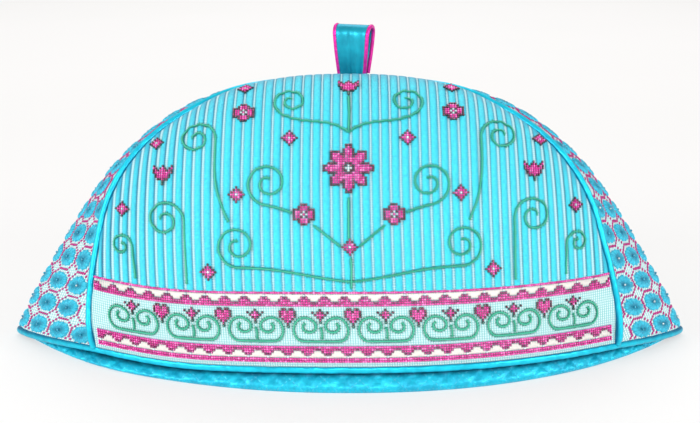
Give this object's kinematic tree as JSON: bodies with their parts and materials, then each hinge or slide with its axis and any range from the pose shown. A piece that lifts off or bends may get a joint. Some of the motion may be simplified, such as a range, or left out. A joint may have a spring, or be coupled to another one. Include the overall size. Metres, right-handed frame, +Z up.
{
  "type": "tea cosy",
  "caption": "Padded needlework tea cosy with ribbed front, mint gusset, corded seams, quilted lining and ribbon loop, standing on its hem.",
  "frame": {"origin": "middle of the footprint, on the surface that the cosy stands on", "axes": "+X along the width, +Z up towards the loop; the decorated front faces -Y"},
  "size_m": [0.385, 0.1774, 0.1772],
  "materials": {
    "needlework": "satin-stitched turquoise ribs with white lines and beads",
    "ribbed_cloth": "turquoise and white ribbed needlework, plain",
    "mint_canvas": "pale mint canvas with turquoise eyelets and pink stitches",
    "turquoise_satin": "turquoise satin over cord",
    "quilted_satin": "turquoise satin, quilted in diamonds",
    "teal_ribbon": "teal satin ribbon",
    "pink_cord": "hot pink satin cord"
  },
  "bodies": {
    "root": {"front_panel": "needlework", "back_panel": "ribbed_cloth", "gusset": "mint_canvas", "front_seam_piping": "turquoise_satin", "back_seam_piping": "turquoise_satin", "hem_piping": "turquoise_satin", "lining": "quilted_satin", "loop_ribbon": "teal_ribbon", "loop_cord_left": "pink_cord", "loop_cord_right": "pink_cord"}
  },
  "joints": []
}
